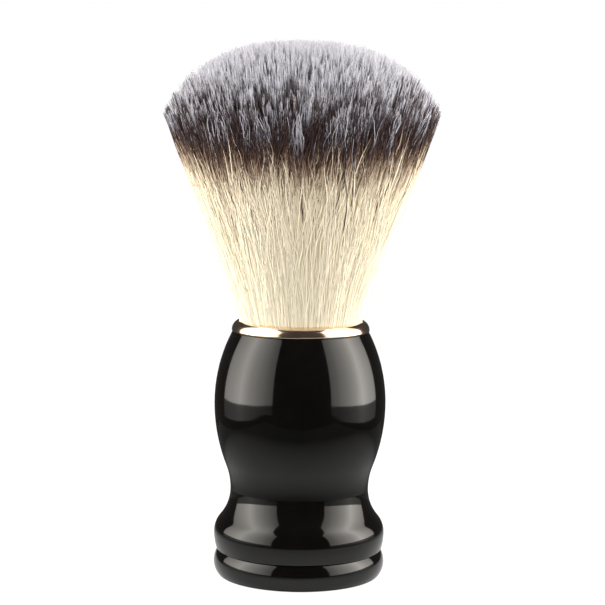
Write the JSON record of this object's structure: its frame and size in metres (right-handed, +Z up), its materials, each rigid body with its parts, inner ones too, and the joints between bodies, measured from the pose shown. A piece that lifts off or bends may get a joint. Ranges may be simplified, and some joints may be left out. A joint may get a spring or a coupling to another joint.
{
  "type": "shaving brush",
  "caption": "Free-standing shaving brush: turned gloss-black handle with waist and foot, gold collar ring, and a fan-shaped domed knot of badger hair.",
  "frame": {"origin": "centre of the base, on the surface that the brush stands on", "axes": "+Z up along the handle's turning axis, towards the top of the hair; the brush is round, so +X and +Y are free, and the hair's bending joint turns about +Y"},
  "size_m": [0.055, 0.055, 0.1067],
  "materials": {
    "gloss_black_resin": "gloss",
    "pale_gold": "polished",
    "badger_hair": "matte",
    "steel": "satin",
    "zinc_plated_steel": "satin",
    "brass": "satin",
    "black_rubber": "matte",
    "grey_foam": "matte",
    "nylon": "satin",
    "amber_epoxy": "gloss",
    "clear_epoxy": "gloss",
    "black_ferrule": "satin",
    "waxed_thread": "matte"
  },
  "bodies": {
    "handle": {"handle_body": "gloss_black_resin", "foot_cap": "gloss_black_resin", "base_pad": "black_rubber", "foot_seal": "black_rubber", "foot_screw": "zinc_plated_steel", "sealing_washer": "nylon", "thread_insert": "brass", "weight_slug": "steel", "weight_pad": "grey_foam", "collar_ring": "pale_gold", "socket_adhesive": "clear_epoxy", "knot_ferrule": "black_ferrule", "knot_plug": "amber_epoxy", "binding_thread": "waxed_thread", "bristle_root": "badger_hair"},
    "loft": {"bristle_loft": "badger_hair"}
  },
  "joints": [
    {"name": "bristle_flex", "type": "hinge", "parent": "handle", "child": "loft", "pos_m": [0, 0, 0.0514], "axis": [0, 1, 0], "range_deg": [-25, 25], "stiffness_Nm_per_rad": 0.25}
  ]
}
